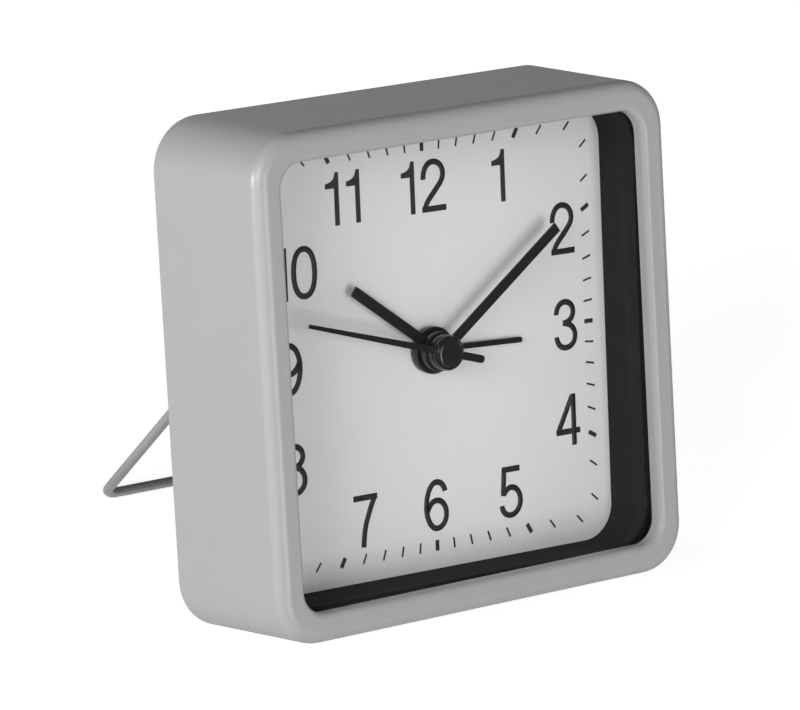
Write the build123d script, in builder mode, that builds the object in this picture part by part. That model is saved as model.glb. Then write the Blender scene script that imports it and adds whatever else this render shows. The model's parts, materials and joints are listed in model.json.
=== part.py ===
"""Square quartz alarm clock on a folding wire stand, in millimetres.

The clock leans back on its open stand, as it does on a table: the floor is Z = 0, +Z is up, the dial
looks towards -Y, and the origin is on the floor under the middle of the clock.
Depths are measured along the hand arbor, positive towards the viewer, from the front of the dial.
"""

import os
from math import acos, asin, atan2, cos, degrees, hypot, radians, sin, tan

from build123d import *

# Case
case_width = 90.0  # across the rear edge, where the drafted sides are widest
case_depth = 30.1
case_draft = 1.6  # degrees
case_wall = 2.2
corner_radius = 9.2  # at the rear edge
front_rounding = 2.4
rear_rounding = 0.6
rim_width = 5.2  # from the outer side to the window, seen from the front
window_rounding = 1.1
window_corner = 4.4
lip_depth = 2.6  # from the rim's front to the lens
back_depth = 16.3  # from the dial to the case's rear edge
arbor_rise = 0.25  # hand arbor above the middle of the case
fit = 0.2  # between pieces that drop into the case

# Lens, dial and the dark wall around the dial
lens_thick = 1.5
dial_thick = 0.5
dial_corner = 6.2
surround_wall = 1.2
surround_space = 1.67  # between the surround and the case, where it sits off the middle
surround_rise = 0.35  # above the middle of the case
surround_turn = -0.95  # degrees; the surround sits a little round in the case

# Back cover
cover_recess = 0.4
cover_thick = 1.8
skirt_wall = 1.6
clip_length = 20.0
clip_height = 1.4
clip_reach = 0.5  # of a clip bead past the skirt
clip_back = 2.5  # from the cover's outer face to the bead
clip_play = 0.2

# Wire stand
wire_diameter = 1.8
wire_bend = 2.6
stand_inset = 9.5  # legs in from the sides of the case
stand_margin = 0.87  # folded bar above the lower edge of the case
stand_open_angle = 53.1  # degrees from the back of the case
stand_rise = -0.65  # hinge above the middle of the case
stand_offset = 1.6  # hinge behind the case's rear edge
pivot_length = 8.0
pivot_play = 0.08
lug_width = 4.6
lug_wall = 1.2
stop_width = 3.0
stop_gap = 0.15
stop_reach = 5.5

# Hands: angles are degrees clockwise from twelve, as the photographed time
press_play = 0.02
pipe_short = 0.1  # pipe ends under the top of its hub
hour_margin = 17.75  # from the tip to the surround, with the hand upright
hour_width = 1.95
hour_angle = 307.1
minute_margin = 6.95
minute_width = 1.8
minute_angle = 54.95
second_margin = 8.6
second_width = 1.35
second_tip = 0.72
second_tail = 8.0
second_tail_width = 1.42
second_angle = 287.0
alarm_margin = 19.25
alarm_width = 1.0
alarm_angle = 93.1
alarm_hub_radius = 4.2
hour_hub_radius = 3.55
minute_hub_radius = 3.15
cap_radius = 3.15
hub_rounding = 0.2
# Heights on the hand arbor, as shares of the room between the dial and the lens
clear_share = 0.033  # first hub above the dial
hand_share = 0.042
gap_share = 0.031
hub_share = 0.127
hour_hub_share = 0.165
cap_share = 0.134
cap_rounding_share = 0.116
socket_share = 0.085  # of the second arbor in the cap

# Pipes and arbors on the hand axis
running_play = 0.06
arbor_radius = 0.5
pipe_wall = 0.55
pivot_radius = 0.4
pivot_depth = 0.6
end_play = 0.1
work_post_radius = 0.6

# Movement
movement_share = 0.2333  # top of the movement above the arbor, of the case's width
movement_drop = 1.2  # between the battery bay and the movement
movement_corner = 3.0
movement_gap = 0.3  # behind the dial
plate_thick = 1.6
middle_thick = 1.0
housing_wall = 1.2
wheel_thick = 0.7
wheel_gap = 0.4
screw_radius = 0.9
screw_head_radius = 1.7
screw_head = 1.0
screw_inset = 3.0
screw_play = 0.08
post_radius = 2.2

# Going train: teeth and modules
rotor_leaves = 6
inter_teeth = 36
inter_module = 0.30
inter_leaves = 6
second_teeth = 30
second_module = 0.48
second_leaves = 6
third_teeth = 48
third_module = 0.31
third_leaves = 6
centre_teeth = 45
# Motion work and setting wheels share one module
work_module = 0.40
cannon_leaves = 10
work_teeth = 30
work_leaves = 8
hour_teeth = 32
alarm_teeth = 40
alarm_set_leaves = 16
time_set_leaves = 12
# Directions of the arbors, degrees anticlockwise from three o'clock, seen from the front
third_direction = 90.0
inter_direction = -35.0
rotor_direction = -10.0
knob_direction = 20.0
# Tooth forms from root to tip: height from the pitch circle and width, both in modules
leaf_form = ((-1.35, 1.15), (0.0, 1.15), (0.9, 0.5))
tooth_form = ((-1.3, 2.1), (0.95, 0.45))

# Setting knobs
set_arbor_radius = 0.9
knob_radius = 4.5
knob_height = 3.2
knob_gap = 0.3  # between a knob and the cover
knob_grips = 14
grip_radius = 0.55
knob_rounding = 0.5
knob_socket = 2.2

# Step motor and circuit
magnet_radius = 2.2
magnet_length = 2.2
rotor_arbor_radius = 0.6
stator_thick = 0.8
stator_air = 0.4
stator_eye = 0.7  # iron left around the rotor
stator_arm = 2.6
core_width = 2.4
core_thick = 0.8
core_seat = 0.8  # core behind the middle plate
core_lap = 2.3  # of the core on the stator at each end
core_length = 22.0
coil_reach = 6.7  # coil to the right of the rotor
coil_margin = 0.7  # between the coil and the side of the movement
core_middle = -0.5  # middle of the coil above the arbor
bobbin_length = 16.0
bobbin_wall = 0.5
bobbin_play = 0.05
flange_size = 6.2
flange_thick = 0.8
winding_size = 5.4
board_width = 10.0
board_height = 24.0
board_thick = 0.8
board_inset = 0.6
board_middle = 3.0
chip_radius = 2.6
chip_height = 1.1
chip_rise = 6.0
crystal_radius = 1.0
crystal_length = 6.0
crystal_drop = 6.0
crystal_side = 3.0

# Battery bay
cell_diameter = 14.5
cell_length = 50.5
cell_nub_length = 1.2
cell_nub_radius = 2.75
cell_rounding = 0.6
cell_play = 0.35
cell_margin = 1.5  # from the bay to the bottom of the skirt
cell_clear = 0.3  # behind the dial
bay_wall = 1.2
contact_space = 3.5
contact_thick = 0.4
contact_width = 9.0
contact_height = 11.0
contact_bulge = 2.0
door_thick = 1.2
door_lap = 0.8
door_gap = 0.1
door_seat = 0.05
door_tab_play = 0.15
door_tab_side = 16.0
door_corner = 2.0
door_tab_width = 8.0
door_tab_length = 3.0
door_tab_thick = 0.7
door_edge = 0.4
finger_radius = 5.0
finger_depth = 0.6

# Alarm contact, switch and buzzer
leaf_thick = 0.15
leaf_width = 2.0
leaf_drop = 5.0
leaf_start = 21.0
leaf_foot = 4.0
leaf_tip = 2.0
switch_side = 17.0
switch_travel = 4.0
switch_stem_width = 4.4
switch_stem_height = 2.4
switch_base_width = 10.0
switch_base_height = 6.0
switch_base_thick = 1.0
switch_play = 0.12
switch_thumb = 1.3
switch_ribs = 3
strip_thick = 0.2
strip_width = 2.0
rail_thick = 1.0
buzzer_side = -14.0
buzzer_gap = 1.0  # around the buzzer, above and below
buzzer_thick = 0.5
buzzer_ring = 1.2
buzzer_stand = 2.0
ceramic_share = 0.7  # of the plate's radius
ceramic_thick = 0.25
lead_radius = 0.3
lead_bend = 0.8
lead_start = 13.0  # lower ends on the circuit board, above the arbor
lead_reach = 1.5  # of the leads above the movement before they bend
lead_gap = 3.0  # between the two leads
sound_slots = 5
sound_slot_share = 0.6  # of the width inside the ring
sound_slot_width = 1.2

# Levels along the arbor
front_plane = case_depth - back_depth
rear_plane = -back_depth
lens_front = front_plane - lip_depth
lens_rear = lens_front - lens_thick
dial_rear = -dial_thick
cover_rear = rear_plane + cover_recess
cover_front = cover_rear + cover_thick
plate_front = dial_rear - movement_gap
plate_rear = plate_front - plate_thick
wheel_step = wheel_thick + wheel_gap
alarm_level = plate_rear - wheel_gap
hour_level = alarm_level - wheel_step
work_level = hour_level - wheel_step
middle_front = work_level - wheel_step
middle_rear = middle_front - middle_thick
centre_level = middle_rear - wheel_gap
third_level = centre_level - wheel_step
second_level = third_level - wheel_step
inter_level = second_level - wheel_step
housing_floor = inter_level - wheel_step
housing_rear = housing_floor - housing_wall
mesh_margin = wheel_gap / 3  # pinions are longer than the wheels they drive

draft_turn = radians(case_draft)
draft_rate = tan(draft_turn)


def outer_half(level):
    """Half the width of the drafted case at a level."""
    return case_width / 2 - (level - rear_plane) * draft_rate


def inner_half(level):
    """Half the width of the hollow in the case at a level."""
    return outer_half(level) - case_wall


def inner_corner(level):
    """Corner radius of the hollow in the case at a level."""
    return corner_radius - case_wall - (level - rear_plane) * draft_rate


# Surround, and hands that end short of it
dial_opening = 2 * (inner_half(lens_rear) - surround_space - surround_wall)
hour_length = dial_opening / 2 - hour_margin
minute_length = dial_opening / 2 - minute_margin
second_length = dial_opening / 2 - second_margin
alarm_length = dial_opening / 2 - alarm_margin

# Hubs of the hands, each a gap above the one before
hub_clear = clear_share * lens_rear
hand_thick = hand_share * lens_rear
hub_gap = gap_share * lens_rear
hub_height = hub_share * lens_rear
hour_hub_height = hour_hub_share * lens_rear
cap_height = cap_share * lens_rear
cap_rounding = cap_rounding_share * lens_rear
cap_socket = socket_share * lens_rear
alarm_hub = hub_clear
hour_hub = alarm_hub + hub_height + hub_gap
minute_hub = hour_hub + hour_hub_height + hub_gap
cap_level = minute_hub + hub_height + hub_gap

# Concentric pipes, from the second arbor outwards
minute_bore = arbor_radius + running_play
minute_pipe = minute_bore + pipe_wall
hour_bore = minute_pipe + running_play
hour_pipe = hour_bore + pipe_wall
alarm_bore = hour_pipe + running_play
alarm_pipe = alarm_bore + pipe_wall
collar_bore = alarm_pipe + running_play
collar_radius = collar_bore + pipe_wall
collar_top = hub_clear / 2

# Lean of the clock: the floor touches the case's rear lower edge and the bar of the stand
front_half = case_width / 2 - case_depth * draft_rate
wire_radius = wire_diameter / 2
stand_half_width = case_width / 2 - stand_inset
stand_leg = stand_rise + case_width / 2 - stand_margin
hinge_back = -rear_plane + stand_offset
hinge_up = stand_rise - arbor_rise
open_turn = radians(stand_open_angle)
bar_back = hinge_back + stand_leg * sin(open_turn)
bar_up = hinge_up - stand_leg * cos(open_turn)
edge_back = -rear_plane - rear_rounding
edge_up = rear_rounding * (1 / cos(draft_turn) + draft_rate) - case_width / 2 - arbor_rise
base_length = hypot(bar_back - edge_back, bar_up - edge_up)
lean = atan2(bar_up - edge_up, bar_back - edge_back) - asin((wire_radius - rear_rounding) / base_length)
floor_drop = edge_up * cos(lean) - edge_back * sin(lean) - rear_rounding
rim_back = front_rounding - front_plane
rim_up = front_rounding * (1 / cos(draft_turn) - draft_rate) - front_half - arbor_rise
reach_front = rim_back * cos(lean) + rim_up * sin(lean) - front_rounding
reach_rear = bar_back * cos(lean) + bar_up * sin(lean) + wire_radius
face = Plane(
    origin=(0, -(reach_front + reach_rear) / 2, -floor_drop),
    x_dir=(1, 0, 0),
    z_dir=(0, -cos(lean), sin(lean)),
)
case_face = Plane(origin=face.from_local_coords((0, -arbor_rise, 0)), x_dir=face.x_dir, z_dir=face.z_dir)


def turned(plane, angle):
    """A plane turned about its own Z, in degrees."""
    turn = radians(angle)
    x_dir = plane.x_dir * cos(turn) + plane.y_dir * sin(turn)
    return Plane(origin=plane.origin, x_dir=x_dir, z_dir=plane.z_dir)


def along(direction, distance, start=(0, 0)):
    """A point at a distance from another, in a direction in degrees."""
    turn = radians(direction)
    return (start[0] + distance * cos(turn), start[1] + distance * sin(turn))


def mesh_phase(phase, teeth, next_teeth, direction):
    """Turn of a wheel that puts its gap on a tooth of the wheel before it."""
    return direction + 180 - (phase - direction) * teeth / next_teeth - 180 / next_teeth


def disc(low, high, radius, centre=(0, 0), bore=0.0, mode=Mode.ADD):
    """A disc, or a tube where it has a bore, between two levels."""
    with BuildSketch(face.offset(low)) as ring:
        with Locations(centre):
            Circle(radius)
            if bore:
                Circle(bore, mode=Mode.SUBTRACT)
    extrude(ring.sketch, amount=high - low, mode=mode)


def block(low, high, width, height, centre=(0, 0), corner=0.0, mode=Mode.ADD):
    """A block with square or rounded corners between two levels."""
    with BuildSketch(face.offset(low)) as outline:
        with Locations(centre):
            if corner:
                RectangleRounded(width, height, corner)
            else:
                Rectangle(width, height)
    extrude(outline.sketch, amount=high - low, mode=mode)


def case_block(low, high, half, corner, taper=0.0, mode=Mode.ADD):
    """A rounded square block centred on the case, drawn in towards its high end by a taper."""
    with BuildSketch(case_face.offset(low)) as outline:
        RectangleRounded(2 * half, 2 * half, corner)
    extrude(outline.sketch, amount=high - low, taper=taper, mode=mode)


def side_blocks(low, high, inner, outer, length, mode=Mode.ADD):
    """One block on the middle of each of the case's four sides."""
    for side in range(4):
        with BuildSketch(turned(case_face.offset(low), 90 * side)) as outline:
            with Locations(((inner + outer) / 2, 0)):
                Rectangle(outer - inner, length)
        extrude(outline.sketch, amount=high - low, mode=mode)


def toothed(low, high, teeth, module, phase, form, centre=(0, 0)):
    """A toothed disc between two levels."""
    corners = []
    for tooth in range(teeth):
        middle = radians(phase + 360 * tooth / teeth)
        for side, heights in ((-1, form), (1, form[::-1])):
            for height, width in heights:
                radius = teeth * module / 2 + height * module
                turn = middle + side * asin(width * module / 2 / radius)
                corners.append((centre[0] + radius * cos(turn), centre[1] + radius * sin(turn)))
    with BuildSketch(face.offset(low)) as blank:
        with BuildLine():
            Polyline(*corners, close=True)
        make_face()
    extrude(blank.sketch, amount=high - low)


# Arbors of the movement
second_pitch = second_module * (second_teeth + inter_leaves) / 2
third_pitch = third_module * (third_teeth + second_leaves) / 2
centre_module = 2 * third_pitch / (third_leaves + centre_teeth)
rotor_pitch = inter_module * (inter_teeth + rotor_leaves) / 2
work_pitch = work_module * (cannon_leaves + work_teeth) / 2
time_pitch = work_module * (work_teeth + time_set_leaves) / 2
alarm_pitch = work_module * (alarm_teeth + alarm_set_leaves) / 2
third_at = along(third_direction, third_pitch)
inter_at = along(inter_direction, second_pitch)
rotor_at = along(rotor_direction, rotor_pitch, inter_at)
alarm_set_at = along(knob_direction, alarm_pitch)
time_set_at = (-alarm_set_at[0], alarm_set_at[1])
# The minute-work wheel stands where it meets both the cannon pinion and the setting pinion
time_direction = 180 - knob_direction
work_cosine = (work_pitch**2 + alarm_pitch**2 - time_pitch**2) / (2 * work_pitch * alarm_pitch)
work_direction = time_direction - degrees(acos(work_cosine))
work_at = along(work_direction, work_pitch)

# Turns of the wheels, each in mesh with the one before
second_phase = 0.0
inter_phase = mesh_phase(second_phase, second_teeth, inter_leaves, inter_direction)
rotor_phase = mesh_phase(inter_phase, inter_teeth, rotor_leaves, rotor_direction)
third_phase = mesh_phase(second_phase, second_leaves, third_teeth, third_direction)
centre_phase = mesh_phase(third_phase, third_leaves, centre_teeth, third_direction + 180)
work_phase = mesh_phase(centre_phase, cannon_leaves, work_teeth, work_direction)
hour_phase = mesh_phase(work_phase, work_leaves, hour_teeth, work_direction + 180)
set_direction = degrees(atan2(time_set_at[1] - work_at[1], time_set_at[0] - work_at[0]))
time_set_phase = mesh_phase(work_phase, work_teeth, time_set_leaves, set_direction)
alarm_phase = 0.0
alarm_set_phase = mesh_phase(alarm_phase, alarm_teeth, alarm_set_leaves, knob_direction)

# Battery bay at the bottom, the movement above it, and the buzzer and the switch above that
cell_radius = cell_diameter / 2
cell_level = dial_rear - cell_clear - cell_radius
bay_length = cell_length + 2 * contact_space
bay_height = cell_diameter + 2 * cell_play
bay_end = bay_length / 2
cover_half = inner_half(cover_rear) - fit
cell_up = skirt_wall + cell_margin + bay_wall + bay_height / 2 - cover_half - arbor_rise
cell_at = (0, cell_up)
door_front = cell_level - cell_radius - door_gap
door_rear = door_front - door_thick
core_offset = rotor_at[0] + coil_reach
movement_width = 2 * (core_offset + flange_size / 2 + coil_margin + housing_wall)
movement_top = movement_share * case_width
movement_bottom = cell_up + bay_height / 2 + bay_wall + movement_drop
movement_height = movement_top - movement_bottom
movement_middle = (0, (movement_top + movement_bottom) / 2)
skirt_half = inner_half(cover_front) - fit - skirt_wall
top_room = skirt_half - arbor_rise - movement_top
switch_height = movement_top + top_room / 2
buzzer_height = switch_height
buzzer_radius = top_room / 2 - buzzer_gap

# Corners of the movement that its screws go through
screw_places = [
    (side * (movement_width / 2 - screw_inset), edge)
    for side in (-1, 1)
    for edge in (movement_bottom + screw_inset, movement_top - screw_inset)
]

# Levels and places of the motor, the battery and the clips
core_front = middle_rear - core_seat
core_rear = core_front - core_thick
core_level = (core_front + core_rear) / 2
core_at = (core_offset, core_middle)
stator_rear = core_rear - stator_thick
stator_level = (core_rear + stator_rear) / 2
board_rear = middle_rear - board_thick
board_at = (board_width / 2 + board_inset + housing_wall - movement_width / 2, board_middle)
clip_low = cover_rear + clip_back
clip_high = clip_low + clip_height
switch_at = (switch_side, switch_height)
switch_rest = (switch_side - switch_travel / 2, switch_height)
rail_front = cover_front + switch_base_thick + 2 * switch_play
buzzer_at = (buzzer_side, buzzer_height)
screw_tip = cover_rear + cover_thick / 3
knob_front = cover_rear - knob_gap
outwards = Axis(face.origin, face.z_dir)


def level_plane(at):
    """Plane through a point of the clock with X to the right and Y to the front."""
    return Plane(origin=face.from_local_coords(at), x_dir=face.x_dir, z_dir=-face.y_dir)


def upright_plane(at):
    """Plane through a point of the clock with X up the face and Y to the front."""
    return Plane(origin=face.from_local_coords(at), x_dir=face.y_dir, z_dir=face.x_dir)


# Case shell: drafted hollow with a rounded rim, open at the rear
with BuildPart() as case_shell:
    case_block(rear_plane, front_plane, case_width / 2, corner_radius, taper=case_draft)
    fillet(case_shell.faces().sort_by(outwards)[-1].edges(), front_rounding)
    fillet(case_shell.faces().sort_by(outwards)[0].edges(), rear_rounding)
    case_block(
        rear_plane,
        lens_front,
        inner_half(rear_plane),
        inner_corner(rear_plane),
        taper=case_draft,
        mode=Mode.SUBTRACT,
    )
    case_block(lens_front, front_plane, front_half - rim_width, window_corner, mode=Mode.SUBTRACT)
    window_edge = case_shell.faces().sort_by(outwards)[-1].inner_wires()[0].edges()
    fillet(window_edge, window_rounding)
    side_blocks(
        clip_low - clip_play,
        clip_high + clip_play,
        cover_half - clip_reach,
        cover_half + clip_reach + clip_play,
        clip_length + 2 * clip_play,
        mode=Mode.SUBTRACT,
    )

# Lens, dropped in behind the rim's lip
with BuildPart() as lens:
    case_block(lens_rear, lens_front, inner_half(lens_front) - fit, inner_corner(lens_front))

# Dark wall between the lens and the dial
surround_middle = face.from_local_coords((0, surround_rise - arbor_rise, 0))
surround_face = turned(Plane(origin=surround_middle, x_dir=face.x_dir, z_dir=face.z_dir), surround_turn)
surround_width = dial_opening + 2 * surround_wall
with BuildPart() as dial_surround:
    with BuildSketch(surround_face):
        RectangleRounded(surround_width, surround_width, dial_corner + surround_wall)
        RectangleRounded(dial_opening, dial_opening, dial_corner, mode=Mode.SUBTRACT)
    extrude(amount=lens_rear)

# Dial plate, held between the surround and the skirt of the back cover
with BuildPart() as dial:
    case_block(dial_rear, 0, inner_half(0) - 2 * fit, inner_corner(0))
    disc(dial_rear, 0, collar_radius + fit, mode=Mode.SUBTRACT)


def hand_plane(level, angle):
    """Plane of a hand, with its own Y along the hand."""
    return turned(face.offset(level), -angle)


# Alarm hand: a short rounded baton on the lowest hub
with BuildPart() as alarm_hand:
    disc(alarm_hub, alarm_hub + hub_height, alarm_hub_radius)
    fillet(alarm_hand.faces().sort_by(outwards)[-1].edges(), hub_rounding)
    with BuildSketch(hand_plane(alarm_hub, alarm_angle)):
        with Locations((0, alarm_length / 2)):
            SlotOverall(alarm_length, alarm_width, rotation=90)
    extrude(amount=hand_thick)
    disc(alarm_hub, alarm_hub + hub_height, alarm_pipe + press_play, mode=Mode.SUBTRACT)

# Hour and minute hands: square-ended batons
with BuildPart() as hour_hand:
    disc(hour_hub, hour_hub + hour_hub_height, hour_hub_radius)
    fillet(hour_hand.faces().sort_by(outwards)[-1].edges(), hub_rounding)
    with BuildSketch(hand_plane(hour_hub, hour_angle)):
        Rectangle(hour_width, hour_length, align=(Align.CENTER, Align.MIN))
    extrude(amount=hand_thick)
    disc(hour_hub, hour_hub + hour_hub_height, hour_pipe + press_play, mode=Mode.SUBTRACT)

with BuildPart() as minute_hand:
    disc(minute_hub, minute_hub + hub_height, minute_hub_radius)
    fillet(minute_hand.faces().sort_by(outwards)[-1].edges(), hub_rounding)
    with BuildSketch(hand_plane(minute_hub, minute_angle)):
        Rectangle(minute_width, minute_length, align=(Align.CENTER, Align.MIN))
    extrude(amount=hand_thick)
    disc(minute_hub, minute_hub + hub_height, minute_pipe + press_play, mode=Mode.SUBTRACT)

# Second hand: a needle with a rounded tail under a domed cap
arbor_end = cap_level + cap_socket
with BuildPart() as second_hand:
    disc(cap_level, cap_level + cap_height, cap_radius)
    fillet(second_hand.faces().sort_by(outwards)[-1].edges(), cap_rounding)
    with BuildSketch(hand_plane(cap_level, second_angle)):
        with BuildLine():
            Polyline(
                (-second_width / 2, 0),
                (-second_tip / 2, second_length),
                (second_tip / 2, second_length),
                (second_width / 2, 0),
                close=True,
            )
        make_face()
        with Locations((0, -second_tail / 2)):
            SlotOverall(second_tail, second_tail_width, rotation=90)
    extrude(amount=hand_thick)
    disc(cap_level, arbor_end + pipe_short, arbor_radius + press_play, mode=Mode.SUBTRACT)

# Movement front plate with the collar that goes through the dial
spacer_radius = screw_inset - housing_wall - fit
with BuildPart() as movement_front_plate:
    block(plate_rear, plate_front, movement_width, movement_height, movement_middle, movement_corner)
    disc(plate_front, collar_top, collar_radius)
    disc(plate_rear, collar_top, collar_bore, mode=Mode.SUBTRACT)
    for place in screw_places:
        disc(middle_front, plate_rear, spacer_radius, place)
        disc(middle_front, plate_front, screw_radius + screw_play, place, mode=Mode.SUBTRACT)
        head_radius = screw_head_radius + screw_play
        disc(plate_front - screw_head, plate_front, head_radius, place, mode=Mode.SUBTRACT)
    for place in (time_set_at, alarm_set_at):
        disc(plate_rear, plate_rear + pivot_depth, pivot_radius + running_play, place, mode=Mode.SUBTRACT)

# Movement middle plate: bearings of the train, post of the minute-work wheel and seats of the coil
with BuildPart() as movement_middle_plate:
    block(
        middle_rear,
        middle_front,
        movement_width - 2 * (housing_wall + fit),
        movement_height - 2 * (housing_wall + fit),
        movement_middle,
        movement_corner - housing_wall,
    )
    disc(middle_front, hour_level, work_post_radius, work_at)
    for end in (-1, 1):
        seat_at = (core_offset, core_middle + end * (core_length - core_lap) / 2)
        block(core_front, middle_rear, core_width, core_lap, seat_at)
    block(
        middle_rear,
        middle_front,
        flange_size + 2 * fit,
        bobbin_length + 2 * fit,
        core_at,
        mode=Mode.SUBTRACT,
    )
    disc(middle_rear, middle_front, minute_pipe + running_play, mode=Mode.SUBTRACT)
    for place in (time_set_at, alarm_set_at):
        disc(middle_rear, middle_front, set_arbor_radius + running_play, place, mode=Mode.SUBTRACT)
    for place in screw_places:
        disc(middle_rear, middle_front, screw_radius + screw_play, place, mode=Mode.SUBTRACT)
    for place in (third_at, inter_at, rotor_at):
        disc(middle_rear, middle_rear + pivot_depth, pivot_radius + running_play, place, mode=Mode.SUBTRACT)

# Movement rear housing: a box open to the front, with hollow posts in its corners
with BuildPart() as movement_rear_housing:
    block(housing_rear, plate_rear, movement_width, movement_height, movement_middle, movement_corner)
    block(
        housing_floor,
        plate_rear,
        movement_width - 2 * housing_wall,
        movement_height - 2 * housing_wall,
        movement_middle,
        movement_corner - housing_wall,
        mode=Mode.SUBTRACT,
    )
    for place in screw_places:
        disc(housing_floor, middle_rear, post_radius, place)
        disc(housing_rear, middle_rear, screw_radius + screw_play, place, mode=Mode.SUBTRACT)
    for place in (time_set_at, alarm_set_at):
        disc(housing_rear, housing_floor, set_arbor_radius + running_play, place, mode=Mode.SUBTRACT)
    block(
        board_rear - 2 * lead_radius - fit,
        board_rear + fit,
        lead_gap + 2 * (lead_radius + fit),
        2 * housing_wall + fit,
        (buzzer_side, movement_top),
        mode=Mode.SUBTRACT,
    )
    for place in ((0, 0), third_at, inter_at, rotor_at):
        disc(
            housing_floor - pivot_depth,
            housing_floor,
            pivot_radius + running_play,
            place,
            mode=Mode.SUBTRACT,
        )

# Movement screws, from the front plate through the posts into the back cover
with BuildPart() as movement_screws:
    for place in screw_places:
        disc(screw_tip, plate_front, screw_radius, place)
        disc(plate_front - screw_head, plate_front, screw_head_radius, place)

# Alarm wheel and its pipe, next to the dial
with BuildPart() as alarm_wheel:
    toothed(alarm_level - wheel_thick, alarm_level, alarm_teeth, work_module, alarm_phase, tooth_form)
    disc(alarm_level, alarm_hub + hub_height - pipe_short, alarm_pipe)
    disc(alarm_level - wheel_thick, alarm_hub + hub_height, alarm_bore, mode=Mode.SUBTRACT)

# Hour wheel and its pipe
with BuildPart() as hour_wheel:
    toothed(hour_level - wheel_thick, hour_level, hour_teeth, work_module, hour_phase, tooth_form)
    disc(hour_level, hour_hub + hour_hub_height - pipe_short, hour_pipe)
    disc(hour_level - wheel_thick, hour_hub + hour_hub_height, hour_bore, mode=Mode.SUBTRACT)

# Minute-work wheel, turning on the middle plate's post
with BuildPart() as minute_work_wheel:
    toothed(work_level - wheel_thick, work_level, work_teeth, work_module, work_phase, tooth_form, work_at)
    toothed(work_level, hour_level, work_leaves, work_module, work_phase, leaf_form, work_at)
    disc(work_level - wheel_thick, hour_level, work_post_radius + running_play, work_at, mode=Mode.SUBTRACT)

# Centre wheel with the cannon pinion and the minute pipe
with BuildPart() as centre_wheel:
    toothed(centre_level - wheel_thick, centre_level, centre_teeth, centre_module, centre_phase, tooth_form)
    disc(centre_level, minute_hub + hub_height - pipe_short, minute_pipe)
    toothed(
        work_level - wheel_thick - mesh_margin,
        work_level + mesh_margin,
        cannon_leaves,
        work_module,
        centre_phase,
        leaf_form,
    )
    disc(centre_level - wheel_thick, minute_hub + hub_height, minute_bore, mode=Mode.SUBTRACT)

front_pivot = middle_rear + pivot_depth - end_play
rear_pivot = housing_floor - pivot_depth + end_play

# Third wheel
with BuildPart() as third_wheel:
    wheel_low = third_level - wheel_thick
    leaf_high = centre_level + mesh_margin
    toothed(wheel_low, third_level, third_teeth, third_module, third_phase, tooth_form, third_at)
    toothed(third_level, leaf_high, third_leaves, centre_module, third_phase, leaf_form, third_at)
    disc(rear_pivot, front_pivot, pivot_radius, third_at)

# Second wheel with the arbor that carries the second hand
with BuildPart() as second_wheel:
    toothed(second_level - wheel_thick, second_level, second_teeth, second_module, second_phase, tooth_form)
    toothed(second_level, third_level + mesh_margin, second_leaves, third_module, second_phase, leaf_form)
    disc(second_level, arbor_end, arbor_radius)
    disc(rear_pivot, second_level, pivot_radius)

# Intermediate wheel
with BuildPart() as intermediate_wheel:
    wheel_low = inter_level - wheel_thick
    leaf_high = second_level + mesh_margin
    toothed(wheel_low, inter_level, inter_teeth, inter_module, inter_phase, tooth_form, inter_at)
    toothed(inter_level, leaf_high, inter_leaves, second_module, inter_phase, leaf_form, inter_at)
    disc(rear_pivot, front_pivot, pivot_radius, inter_at)

# Rotor with its pinion, and the magnet ring on it
magnet_low = stator_level - magnet_length / 2
magnet_high = stator_level + magnet_length / 2
with BuildPart() as rotor:
    toothed(
        inter_level - wheel_thick - mesh_margin,
        inter_level + mesh_margin,
        rotor_leaves,
        inter_module,
        rotor_phase,
        leaf_form,
        rotor_at,
    )
    disc(inter_level, magnet_high, rotor_arbor_radius, rotor_at)
    disc(rear_pivot, front_pivot, pivot_radius, rotor_at)

with BuildPart() as rotor_magnet:
    disc(magnet_low, magnet_high, magnet_radius, rotor_at, bore=rotor_arbor_radius + press_play)

# Stator: one iron plate with an eye for the rotor and two ends under the coil core
stator_left = rotor_at[0] - stator_arm / 2
stator_right = core_offset + core_width / 2
with BuildPart() as stator:
    block(stator_rear, core_rear, stator_arm, core_length, (rotor_at[0], core_middle))
    for end in (-1, 1):
        end_at = ((stator_left + stator_right) / 2, core_middle + end * (core_length - core_lap) / 2)
        block(stator_rear, core_rear, stator_right - stator_left, core_lap, end_at)
    disc(stator_rear, core_rear, magnet_radius + stator_air + stator_eye, rotor_at)
    disc(stator_rear, core_rear, magnet_radius + stator_air, rotor_at, mode=Mode.SUBTRACT)

# Coil: core, bobbin and winding
with BuildPart() as coil_core:
    block(core_rear, core_front, core_width, core_length, core_at)

bobbin_bore_width = core_width + 2 * bobbin_play
bobbin_bore_thick = core_thick + 2 * bobbin_play
bobbin_width = bobbin_bore_width + 2 * bobbin_wall
bobbin_thick = bobbin_bore_thick + 2 * bobbin_wall
coil_plane = level_plane((core_offset, core_middle, core_level))
with BuildPart() as coil_bobbin:
    with BuildSketch(coil_plane):
        Rectangle(bobbin_width, bobbin_thick)
    extrude(amount=bobbin_length / 2, both=True)
    for end in (-1, 1):
        flange_low = bobbin_length / 2 - flange_thick
        with BuildSketch(coil_plane.offset(end * flange_low)):
            RectangleRounded(flange_size, flange_size, flange_thick)
        extrude(amount=end * flange_thick)
    with BuildSketch(coil_plane):
        Rectangle(bobbin_bore_width, bobbin_bore_thick)
    extrude(amount=bobbin_length / 2, both=True, mode=Mode.SUBTRACT)

with BuildPart() as coil_winding:
    with BuildSketch(coil_plane):
        RectangleRounded(winding_size, winding_size, winding_size / 3)
        Rectangle(bobbin_width + 2 * bobbin_play, bobbin_thick + 2 * bobbin_play, mode=Mode.SUBTRACT)
    extrude(amount=bobbin_length / 2 - flange_thick - bobbin_play, both=True)

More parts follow.
